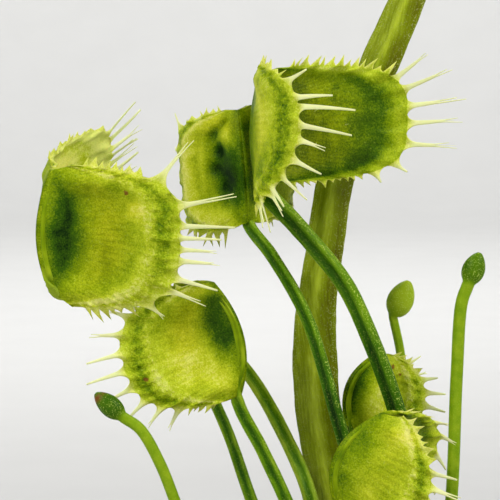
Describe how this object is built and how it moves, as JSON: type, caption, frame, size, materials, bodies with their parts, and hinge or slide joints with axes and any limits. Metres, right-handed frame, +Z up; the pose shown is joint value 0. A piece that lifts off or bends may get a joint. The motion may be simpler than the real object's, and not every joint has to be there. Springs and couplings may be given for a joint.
{
  "type": "potted venus flytrap",
  "caption": "Venus flytrap in a plain round nursery pot, with upright and low leaves whose two-lobed traps carry long marginal cilia.",
  "frame": {"origin": "centre of the pot's flat underside", "axes": "+Z up along the pot's axis; -Y is the front, which the picture looks at; +X is to the picture's right"},
  "size_m": [0.0943, 0.1004, 0.2157],
  "materials": {
    "pot": "satin",
    "soil": "matte",
    "rhizome": "satin",
    "leaf": "satin",
    "tall_leaf": "satin",
    "young_leaf": "satin"
  },
  "bodies": {
    "root": {"pot": "pot", "soil": "soil", "rhizome": "rhizome", "leaf_left_front": "leaf", "leaf_left_low": "leaf", "leaf_middle_back": "leaf", "leaf_right_high": "leaf", "leaf_right_middle": "leaf", "leaf_right_front": "leaf", "leaf_left_hidden": "leaf", "leaf_tall_back": "tall_leaf", "leaf_low_back_right": "leaf", "leaf_low_back": "leaf", "leaf_low_back_left": "leaf", "leaf_low_front_right": "leaf", "leaf_low_front_left": "leaf", "leaf_young_left": "young_leaf", "leaf_young_right_far": "young_leaf", "leaf_young_right_near": "young_leaf"}
  },
  "joints": []
}
